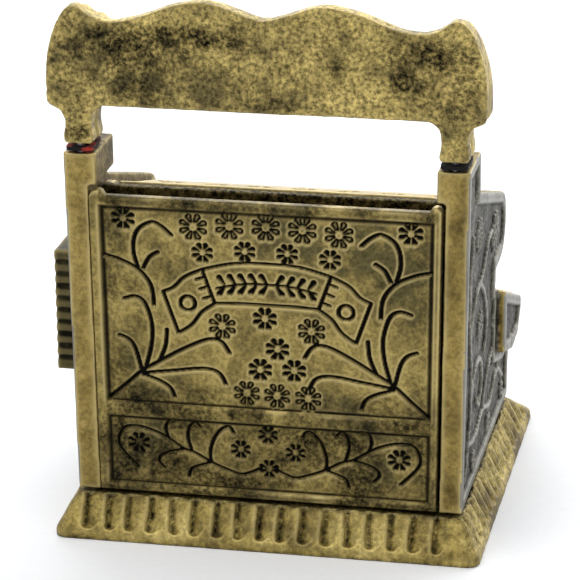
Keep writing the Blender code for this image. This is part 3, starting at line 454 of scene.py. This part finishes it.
def casting(node, cell, rounding=2):
    """A fine, evenly meshed copy of a node with its corners rounded as a casting's are."""
    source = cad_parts[node]
    bm = bmesh.new()
    bm.from_mesh(source.data)
    bmesh.ops.remove_doubles(bm, verts=bm.verts, dist=0.001 * MM)
    rough = bpy.data.objects.new(node + "_rough", mesh_of(bm, node + "_rough"))
    bpy.context.scene.collection.objects.link(rough)
    change = rough.modifiers.new("even_cells", "REMESH")
    change.mode = "VOXEL"
    change.voxel_size = cell
    graph = bpy.context.evaluated_depsgraph_get()
    mesh = bpy.data.meshes.new_from_object(rough.evaluated_get(graph))
    bpy.data.objects.remove(rough)
    bm = bmesh.new()
    bm.from_mesh(mesh)
    for _ in range(rounding):
        bmesh.ops.smooth_vert(bm, verts=bm.verts, factor=0.5, use_axis_x=True, use_axis_y=True,
                              use_axis_z=True)
    bm.to_mesh(mesh)
    bm.free()
    mesh.name = node + "_casting"
    return mesh


def age(mesh, rounds=6, strength=14.0, extra=None):
    """Paints blackening in hollows and wear on raised edges; extra adds the piece's own marks, on
    some pieces painted shade.
    """
    bend = hollows(mesh, rounds) / MM
    stain_and_shade = bend * strength
    if extra is not None:
        stain_and_shade = np.maximum(stain_and_shade, extra)
    paint(mesh, "patina_and_shade", stain_and_shade)
    paint(mesh, "wear_and_highlight", -bend * strength)


# ---------------------------------------------------------------- back panel

def back_panel():
    """Engraved sheet over a flat back; its sides lean out and two ears rise at its top."""
    # All in millimetres. The sheet's left edge reaches closer to its post than its right.
    half = 19.6
    foot = panel_low.z / MM
    top = 41.1
    ear = 1.35
    cell = 0.132
    rounding = 0.35
    recess_depth = 0.26
    line_depth = 0.14
    stroke_depth = 0.36
    left_reach = 0.24
    recess_edge = 18.75
    columns = round(2 * half / cell)
    rows = round((top - foot) / cell)
    bm = bmesh.new()
    bmesh.ops.create_grid(bm, x_segments=columns, y_segments=rows, size=0.5)
    bmesh.ops.rotate(bm, matrix=Matrix.Rotation(-math.pi / 2, 3, "X"), verts=bm.verts)
    sheet = mesh_of(bm, "rear_panel_face")
    points = coordinates(sheet)
    across = points[:, 0] * 2 * half
    share = points[:, 2] + 0.5
    side = half - np.abs(across)
    rise = np.sqrt(np.clip(0.68**2 - (side - ear / 2)**2, 0, None)) * (side < ear)
    up = foot + share * (top - foot) + rise * np.clip((share - 0.94) / 0.06, 0, 1)

    places = np.column_stack((across, up))
    inside = np.full(len(places), -9.0)
    for low, high in ((16.2, 40.0), (6.1, 14.6)):
        reach = np.minimum.reduce([recess_edge - np.abs(across), up - low, high - up])
        inside = np.maximum(inside, reach)
    recess = np.clip(inside / 0.2 + 0.5, 0, 1)
    line = np.clip(1.3 - np.abs(inside - 0.24) / (0.26 + 0.08 * (across > 18.0)), 0, 1)
    engraving = engraved_panel(places) * (inside > 0.15)
    outer = np.minimum.reduce([side + 9.0 * (across > 0), up - foot, top + rise - up])
    edge_gap = np.clip(rounding - outer, 0, None)
    round_edge = rounding - np.sqrt(np.clip(rounding**2 - edge_gap**2, 0, None))
    into = recess_depth * recess + line_depth * line + stroke_depth * engraving + round_edge
    wide = across + left_reach * np.clip((across - recess_edge) / (half - recess_edge), 0, 1)
    points = np.column_stack((wide * MM * lean(up * MM), np.full(len(up), panel_high.y), up * MM))
    into = into * MM + lumps(points, 2.4 * MM, 0.04 * MM, 3.0) + 0.04 * MM
    points[:, 1] -= into
    place_vertices(sheet, points)
    cloud = np.array([noise.fractal(Vector(p) / (4.0 * MM), 1.0, 2.0, 3) for p in points])
    low_wash = np.clip((20.0 - up) / 7.0, 0, 1)
    edge_wash = np.clip(1 - inside / 2.6, 0, 1) * (inside > 0)
    left_wash = np.clip((across - 8.0) / 10.0, 0, 1) * (inside > 0)
    rails = (inside < 0) * (np.abs(across) < 18.7)
    rail_wash = rails * (0.5 * (up > 39.9) + 0.4 * (up < 17.0))
    wash = 0.48 * low_wash + 0.3 * edge_wash + 0.26 * left_wash + rail_wash
    wash = np.clip(wash + 0.75 * cloud * (wash + 0.25), 0, 0.82)
    # Walls facing up are painted lighter as painted highlight: less black in the cuts and the
    # bright edge colour.
    upward = np.clip((normals(sheet)[:, 2] - 0.25) / 0.3, 0, 1)
    paint(sheet, "patina_and_shade", wash)
    black = np.maximum(engraving * 1.5 - 0.25, line * 0.95)
    paint(sheet, "engraving", black * (1 - 0.75 * upward))
    lip = np.clip(hollows(sheet, 3) / MM * -20.0, 0, 1)
    paint(sheet, "wear_and_highlight", np.maximum(lip, 0.8 * upward * (inside > 0)) * (1 - wash))

    bm = bmesh.new()
    bm.from_mesh(sheet)
    rim = [edge for edge in bm.edges if edge.is_boundary]       # gives the sheet its thickness
    back = bmesh.ops.extrude_edge_only(bm, edges=rim)
    moved = [item for item in back["geom"] if isinstance(item, bmesh.types.BMVert)]
    for vert in moved:
        vert.co.y = panel_low.y
    bmesh.ops.holes_fill(bm, edges=[edge for edge in bm.edges if edge.is_boundary], sides=0)
    bmesh.ops.recalc_face_normals(bm, faces=bm.faces)
    bm.to_mesh(sheet)
    bm.free()
    finish_piece("engraved_rear_panel", sheet, PANEL_BRASS, "case", "rear_panel")


# ---------------------------------------------------------------- plinth

def plinth():
    """Copy of the plinth, evenly meshed, with slanting scoops cut round its slope."""
    mesh = casting("base_plinth", 0.2 * MM, 2)
    points = coordinates(mesh)
    pitch = 2.56 * MM
    lip = 1.0 * MM
    scoop_depth = 0.68 * MM
    top = plinth_high.z
    height = (points[:, 2] - lip) / (top - lip)
    facing = normals(mesh)
    slope = (height > 0.0) & (facing[:, 2] > 0.2) & (facing[:, 2] < 0.97)
    depth = np.zeros(len(points))
    turned = np.abs(facing[:, 1]) > np.abs(facing[:, 0])
    for mine, half, along in ((slope & turned, plinth_high.x, points[:, 0]),
                              (slope & ~turned, plinth_high.y, points[:, 1])):
        wander = lumps(points, 3.0 * MM, 0.12, 21.0)
        phase = np.mod(-along / pitch + 0.5 + wander, 1.0)
        scoop = np.where(phase < 0.13, phase / 0.13, ((1 - phase) / 0.87)**2.2)
        clear = np.clip((half - 3.5 * MM - np.abs(along)) / (0.4 * MM) + 1, 0, 1)
        foot = 0.06 + 0.9 * (phase - 0.3) ** 2
        fade = np.clip((height - foot) / 0.1, 0, 1) * np.clip((1.1 - height) / 0.12, 0, 1)
        depth = np.where(mine, scoop * clear * fade, depth)
    points -= facing * (depth * scoop_depth)[:, None]
    points -= facing * (lumps(points, 1.4 * MM, 0.05 * MM, 5.0) + 0.05 * MM)[:, None]
    place_vertices(mesh, points)
    seam = np.clip(1 - (top - points[:, 2]) / (0.5 * MM), 0, 1) * 0.9
    under = np.clip(1 - points[:, 2] / (0.5 * MM), 0, 1) * 0.8
    patchy = lumps(points, 0.9 * MM, 0.7, 23.0)
    groove = np.clip((depth - 0.5) * 2.6 + patchy, 0, 1) * (depth > 0.3)
    # Faces turned to -X are darkened as painted shade: a whole side of the plinth in shade.
    shaded_side = 0.42 * (facing[:, 0] < -0.4)
    age(mesh, 5, 6.0, np.maximum.reduce([seam, under, groove, shaded_side]))
    finish_piece("ribbed_base_plinth", mesh, PLINTH_BRASS, "case", "base_plinth")


# ---------------------------------------------------------------- crest, walls and the rest

def outline_distance(mesh_node, axis, points, keep):
    """Distance of each point, seen along an axis, from the outline of a node's flat face."""
    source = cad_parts[mesh_node]
    bm = bmesh.new()
    bm.from_mesh(source.data)
    bmesh.ops.remove_doubles(bm, verts=bm.verts, dist=0.001 * MM)
    plane = [i for i in range(3) if i != axis]
    gap = np.full(len(points), np.inf)
    seen = points[:, plane]
    for edge in bm.edges:
        ends = [np.array(vert.co) for vert in edge.verts]
        if len(edge.link_faces) != 2 or edge.calc_face_angle(0) < 0.7 or not all(map(keep, ends)):
            continue
        line = np.array([end[plane] for end in ends])
        gap = np.minimum(gap, distance_to(seen, line))
    bm.free()
    return gap


# Clouds of soot on the crest's back: across, height above the feet, half width, half height in
# millimetres, and strength.
CREST_SOOT = [
    (15.5, 11.4, 6.0, 3.0, 0.72), (10.0, 12.9, 7.5, 1.5, 0.85), (14.0, 7.6, 3.2, 3.2, 0.55),
    (-15.8, 9.2, 1.6, 2.0, 0.75), (-18.5, 12.0, 5.0, 1.8, 0.7), (-18.0, 8.2, 2.4, 1.6, 0.7),
    (-21.5, 9.0, 3.0, 4.5, 0.4), (0.0, 5.4, 5.0, 1.0, 0.4), (21.0, 1.4, 1.6, 1.0, 0.5),
    (-8.2, 10.0, 1.4, 1.4, 0.5), (4.0, 14.0, 4.0, 1.2, 0.3),
]


def crest_rear():
    """Rear layer: rough, pitted casting with soot in clouds on its back."""
    mesh = casting("crest_rear", 0.19 * MM, 4)
    points = coordinates(mesh)
    facing = normals(mesh)
    waves = lumps(points, 3.2 * MM, 0.09 * MM, 1.0) + lumps(points, 0.9 * MM, 0.03 * MM, 2.0)
    pits = np.clip(lumps(points, 0.7 * MM, 1.0, 9.0) - 0.35, 0, 1) * 0.25 * MM
    points -= facing * (waves + pits + 0.12 * MM)[:, None]
    place_vertices(mesh, points)
    rear = facing[:, 1] > 0.5
    across, up = points[:, 0] / MM, (points[:, 2] - crest_low.z) / MM
    wash = np.zeros(len(points))
    for x, z, wide, high, strength in CREST_SOOT:
        wash = np.maximum(wash, strength * np.exp(-((across - x) / wide)**2 - ((up - z) / high)**2))
    patchy = lumps(points, 2.2 * MM, 1.0, 13.0) + lumps(points, 0.7 * MM, 0.6, 14.0)
    wash = np.clip((wash * (1.15 + 0.8 * patchy) - 0.1) * 1.5, 0, 0.9) * rear
    seam = 0.7 * (points[:, 1] < crest_low.y + 0.25 * MM)
    age(mesh, 6, 5.0, np.maximum(wash, seam))
    finish_piece("crest_rear_casting", mesh, CREST_BRASS, "case", "crest_rear")


def crest_front():
    """Front layer: a row of flowers and vine strokes on its raised field."""
    mesh = casting("crest_front", 0.19 * MM, 3)
    points = coordinates(mesh)
    facing = normals(mesh)
    low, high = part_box("crest_front")
    field = (facing[:, 1] < -0.5) & (points[:, 1] < low.y + 0.4 * MM)
    places = np.column_stack((points[:, 0], points[:, 2])) / MM
    depths = np.zeros(len(points))
    middle = (low.z + 9.6 * MM) / MM
    for number in range(-3, 4):
        flower(depths, places, (number * 5.6, middle), 1.5)
    for number in range(-3, 3):
        side = number + 0.5
        vine = flow([(side * 5.6 - 1.1, middle - 1.2), (side * 5.6, middle + 1.3),
                     (side * 5.6 + 1.1, middle - 1.2)])
        cut(depths, places, vine, 0.36)
    depths *= field
    points -= facing * (depths * 0.22 * MM + lumps(points, 1.5 * MM, 0.05 * MM, 4.0)
                        + 0.05 * MM)[:, None]
    place_vertices(mesh, points)
    age(mesh, 6, 12.0, depths)
    finish_piece("crest_front_casting", mesh, CREST_BRASS, "case", "crest_front")


def side_wall(word, side):
    """Side casting with a raised rim and a scroll on a stippled ground."""
    node = f"{word}_side_wall"
    mesh = casting(node, 0.21 * MM, 2)
    points = coordinates(mesh)
    facing = normals(mesh)
    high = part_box(node)[1]
    straight = points[:, 0] / lean(points[:, 2])
    outside = (side * facing[:, 0] > 0.7) & (side * straight > CASE_HALF - 0.5 * MM)

    def on_face(end):
        return side * end[0] / lean(end[2]) > CASE_HALF - 0.02 * MM

    index = np.nonzero(outside)[0]
    gap = np.full(len(points), 0.0)
    gap[index] = outline_distance(node, 0, points[index], on_face) / MM
    recess = np.clip((gap - 1.2) / 0.3, 0, 1)
    places = np.column_stack((high.y - points[:, 1], points[:, 2])) / MM
    scroll = np.zeros(len(points))
    for stroke in SIDE_SCROLL:
        cut(scroll, places, flow(stroke), 0.6)
    for x, z, size in SIDE_FLOWERS:
        flower(scroll, places, (x, z), size)
        cut(scroll, places, [(x, z), (x, z + 0.01)], size * 0.35)
    stipple = np.clip(lumps(points, 0.45 * MM, 1.6, 6.0), -1, 1) * 0.06
    into = recess * (0.42 - 0.34 * scroll + stipple)
    points -= facing * ((into * outside) * MM + lumps(points, 2.0 * MM, 0.03 * MM, 7.0)
                        + 0.03 * MM)[:, None]
    place_vertices(mesh, points)
    ground = recess * (1 - scroll) * outside
    # Inward and upward faces near the top, beside the slot, are darkened: patina with painted
    # shade.
    inward = (side * facing[:, 0] < -0.5) | (facing[:, 2] > 0.7)
    inner = 0.62 * inward * (points[:, 2] > high.z - 12 * MM) * (points[:, 1] < high.y - 0.4 * MM)
    streaks = 0.3 * np.clip(lumps(points * (1, 1, 0.25), 1.4 * MM, 2.0, 17.0) - 0.2, 0, 1)
    age(mesh, 5, 11.0, np.maximum.reduce([ground * 0.7, inner, streaks]))
    finish_piece(f"{word}_side_casting", mesh, FRAME_BRASS, "case", node)
    mesh.materials.append(SIDE_REFLECTION_BRASS)
    assign_outer(mesh, side)


def assign_outer(mesh, side):
    """Gives the outward faces of a side casting, relief and all, the second material, the brass
    greyed as painted reflection.
    """
    outward = even_out(mesh, side * normals(mesh)[:, 0], 8)
    for face in mesh.polygons:
        if sum(outward[i] for i in face.vertices) > 0.5 * len(face.vertices):
            face.material_index = 1


# Scroll on the side castings, in millimetres in front of the rear face and up from the base.
SIDE_SCROLL = [
    [(3.0, 8.0), (6.0, 13.0), (6.5, 20.0), (4.5, 26.0), (4.0, 32.0), (6.0, 36.5)],
    [(6.4, 17.0), (10.0, 19.5), (14.0, 19.0), (15.5, 16.0), (13.5, 13.6), (11.4, 15.0)],
    [(5.0, 25.0), (9.0, 28.5), (14.0, 29.5), (18.0, 32.0), (21.0, 32.5)],
    [(12.0, 29.2), (16.0, 26.5), (18.5, 22.5), (17.0, 19.0)],
    [(5.5, 11.5), (11.0, 10.5), (17.0, 11.5), (23.0, 10.0), (29.0, 12.0), (34.0, 9.5)],
    [(17.0, 11.5), (20.0, 15.0), (24.0, 16.5)],
    [(29.0, 12.0), (31.5, 15.0), (34.5, 14.5)],
]
SIDE_FLOWERS = [(10.5, 35.5, 1.9), (13.0, 23.5, 1.7), (24.0, 31.5, 2.4), (26.0, 20.0, 1.6),
                (10.0, 7.9, 1.2), (22.0, 7.9, 1.2), (34.0, 7.6, 1.1)]


def plain_casting(node, cell, material, body="case", rounding=2, depth=0.03 * MM, strength=10.0):
    mesh = casting(node, cell, rounding)
    points = coordinates(mesh)
    points -= normals(mesh) * (lumps(points, 1.8 * MM, depth, 8.0) + depth)[:, None]
    place_vertices(mesh, points)
    age(mesh, 5, strength)
    return finish_piece(node + "_casting", mesh, material, body, node)


def hood():
    """Hood with a border and a band of flowers over its top and nose."""
    mesh = casting("hood", 0.24 * MM, 2)
    points = coordinates(mesh)
    facing = normals(mesh)
    out = facing[:, 2] * 0.8 - facing[:, 1] * 0.6 > 0.2
    out &= ~((facing[:, 2] < -0.2) & (points[:, 1] > hood_low.y + 6 * MM))
    depth_in_front = (hood_high.y - points[:, 1]) / MM
    across = points[:, 0] / MM
    places = np.column_stack((across, depth_in_front))
    band = np.zeros(len(points))
    for row, start in ((4.5, 0), (11.5, 1), (18.5, 0)):
        for number in range(-3, 4):
            x = number * 5.4 + 2.7 * start
            if abs(x) < 18:
                flower(band, places, (x, row), 1.7)
    for row in (1.2, 8.0, 15.0, 22.0):
        cut(band, places, [(-18.5, row), (18.5, row)], 0.35)
    for x in (-18.5, 18.5):
        cut(band, places, [(x, 1.2), (x, 22.0)], 0.35)
    band *= out
    points -= facing * (band * 0.25 * MM + lumps(points, 1.6 * MM, 0.04 * MM, 11.0)
                        + 0.04 * MM)[:, None]
    place_vertices(mesh, points)
    # The slot's back flange and floor are blacked: patina with painted shade for the slot's dark
    # depths.
    slot_shade_and_patina = (points[:, 1] > hood_high.y - 1.0 * MM) & ((facing[:, 1] > 0.4) | (facing[:, 2] > 0.6))
    age(mesh, 5, 10.0, np.maximum(band, slot_shade_and_patina * 1.0))
    finish_piece("hood_casting", mesh, FRAME_BRASS, "case", "hood")


def drawer_front():
    """Drawer face with a moulded border and the same scroll as the back's lower panel."""
    mesh = casting("drawer_front", 0.15 * MM, 1)
    points = coordinates(mesh)
    facing = normals(mesh)
    low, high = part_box("drawer_front")
    outside = (facing[:, 1] < -0.6) & (points[:, 1] < low.y + 0.3 * MM)
    places = np.column_stack((points[:, 0], points[:, 2] + 0.25 * MM)) / MM
    depths = np.zeros(len(points))
    for stroke in LOWER_SCROLL:
        for line in both_sides(flow(stroke)):
            cut(depths, places, line * (0.94, 0.84) + (0, 1.55), 0.36)
    for x, z, size in LOWER_FLOWERS[:1]:
        for side in (1, -1):
            flower(depths, places, (side * x * 0.94, z * 0.84 + 1.55), size * 0.85)
    reach = np.minimum.reduce([high.x - np.abs(points[:, 0]), high.z - points[:, 2],
                               points[:, 2] - low.z])
    border = np.clip(1 - np.abs(reach / MM - 0.75) / 0.2, 0, 1)
    depths = np.maximum(depths * (reach > 0.9 * MM), border) * outside
    points -= facing * (depths * 0.22 * MM + lumps(points, 1.5 * MM, 0.03 * MM, 12.0)
                        + 0.03 * MM)[:, None]
    place_vertices(mesh, points)
    age(mesh, 4, 10.0, depths)
    finish_piece("drawer_front_casting", mesh, FRAME_BRASS, "drawer", "drawer_front")


def seam_pad(word, darkening):
    """Thin fibre pad in the seam between an upright and its crest leg, darkened by painted shade.
    """
    rear_low, rear_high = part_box(f"{word}_rear_washer")
    front_low, front_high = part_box(f"{word}_front_washer")
    middle = Vector(((rear_low.x + front_high.x) / 2, (rear_high.y + front_low.y) / 2,
                     (rear_low.z + front_high.z) / 2))
    height = rear_high.z - rear_low.z + 0.1 * MM
    size = (3.1 * MM, abs(rear_high.y - front_low.y) + 0.3 * MM, height)
    bm = bmesh.new()
    bmesh.ops.create_cube(bm, size=1.0)
    bmesh.ops.scale(bm, vec=size, verts=bm.verts)
    bmesh.ops.translate(bm, vec=middle, verts=bm.verts)
    upright = [edge for edge in bm.edges
               if abs(edge.verts[0].co.z - edge.verts[1].co.z) > height / 2]
    bmesh.ops.bevel(bm, geom=upright, offset=0.7 * MM, segments=5, profile=0.5, affect="EDGES",
                    material=-1)
    bmesh.ops.subdivide_edges(bm, edges=bm.edges, cuts=2, use_grid_fill=True)
    mesh = mesh_of(bm, f"{word}_seam_pad")
    paint(mesh, "patina_and_shade", np.full(len(mesh.vertices), darkening))
    finish_piece(f"{word}_seam_pad", mesh, SEAM_FIBRE, "case", f"{word}_rear_washer",
                 f"{word}_front_washer")
    mesh.shade_flat()


# ---------------------------------------------------------------- stage, lights and camera

def studio():
    bm = bmesh.new()
    bmesh.ops.create_grid(bm, x_segments=1, y_segments=1, size=1.5)
    floor = bpy.data.objects.new("studio_floor", mesh_of(bm, "studio_floor"))
    bpy.context.scene.collection.objects.link(floor)
    floor.location.z = plinth_low.z - 0.02 * MM
    paper, tree, shader = new_material("white_paper_sweep", 0.0, 0.8, 0.5)
    place = add(tree, "ShaderNodeTexCoord", out="Object")
    fibre = add(tree, "ShaderNodeTexNoise", Vector=place, Scale=LUMP / (0.6 * MM), Detail=3.0)
    tone = add(tree, "ShaderNodeMix", BLEND, 2, i0=fibre, i6=colour("#F4F6FB"),
               i7=colour("#FDFEFF"))
    tree.links.new(tone, shader.inputs["Base Color"])
    floor.data.materials.append(paper)

    world = bpy.data.worlds.new("pale_room")
    world.use_nodes = True
    world.node_tree.nodes["Background"].inputs["Color"].default_value = (1.0, 1.0, 1.0, 1.0)
    world.node_tree.nodes["Background"].inputs["Strength"].default_value = 0.7
    bpy.context.scene.world = world
    bpy.context.scene.view_settings.view_transform = "Standard"


def softbox(name, place, aim, size, power, tint="#FFFFFF"):
    light = bpy.data.lights.new(name, "AREA")
    light.shape = "RECTANGLE"
    light.size = size[0]
    light.size_y = size[1]
    light.energy = power
    light.color = colour(tint)[:3]
    lamp = bpy.data.objects.new(name, light)
    bpy.context.scene.collection.objects.link(lamp)
    lamp.location = place
    lamp.rotation_mode = "QUATERNION"
    lamp.rotation_quaternion = (Vector(aim) - Vector(place)).to_track_quat("-Z", "Y")


def camera():
    """Close view of the back from its left, looking down a little."""
    azimuth = math.radians(191.59)
    elevation = math.radians(19.57)
    roll = math.radians(-0.51)
    target = Vector((-2.82 * MM, panel_high.y, 31.25 * MM))
    back = Vector((math.sin(azimuth) * math.cos(elevation),
                   -math.cos(azimuth) * math.cos(elevation), math.sin(elevation)))
    made = bpy.data.objects.new("camera", bpy.data.cameras.new("camera"))
    bpy.context.scene.collection.objects.link(made)
    made.location = target + back * 352.9 * MM
    turn = (-back).to_track_quat("-Z", "Y").to_matrix() @ Matrix.Rotation(roll, 3, "Z")
    made.rotation_euler = turn.to_euler()
    made.data.lens = 194.7
    made.data.sensor_width = 36.0
    made.data.clip_start = 0.01
    made.data.clip_end = 10.0
    bpy.context.scene.camera = made


# ---------------------------------------------------------------- the object

back_panel()
plinth()
crest_rear()
crest_front()
side_wall("left", -1)
side_wall("right", 1)
hood()
drawer_front()
plain_casting("keyboard", 0.22 * MM, FRAME_BRASS)
plain_casting("front_panel", 0.25 * MM, FRAME_BRASS)
plain_casting("sharpener_body", 0.19 * MM, INNER_BRASS, strength=6.0)

# How much painted shade covers each pad's red fibre.
seam_pad("left", 0.62)
seam_pad("right", 0.3)

for name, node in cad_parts.items():
    if name.startswith("key_") or name == "drawer_knob":
        finish = KEY_BRASS
    elif name.startswith("bottom_screw") or name in ("sharpener_blade", "blade_screw"):
        finish = BLADE_STEEL
    elif name.endswith("_dowel"):
        finish = BLADE_STEEL
    else:
        finish = INNER_BRASS
    node.data.materials.clear()
    node.data.materials.append(finish)

studio()
camera()
softbox("backdrop_softbox", (-0.15, -0.95, 0.5), (0, 0, 0.05), (1.8, 1.0), 14.0)
softbox("overhead_softbox", (0.2, 0.25, 1.0), (0, 0, 0.0), (0.8, 0.8), 4.0)
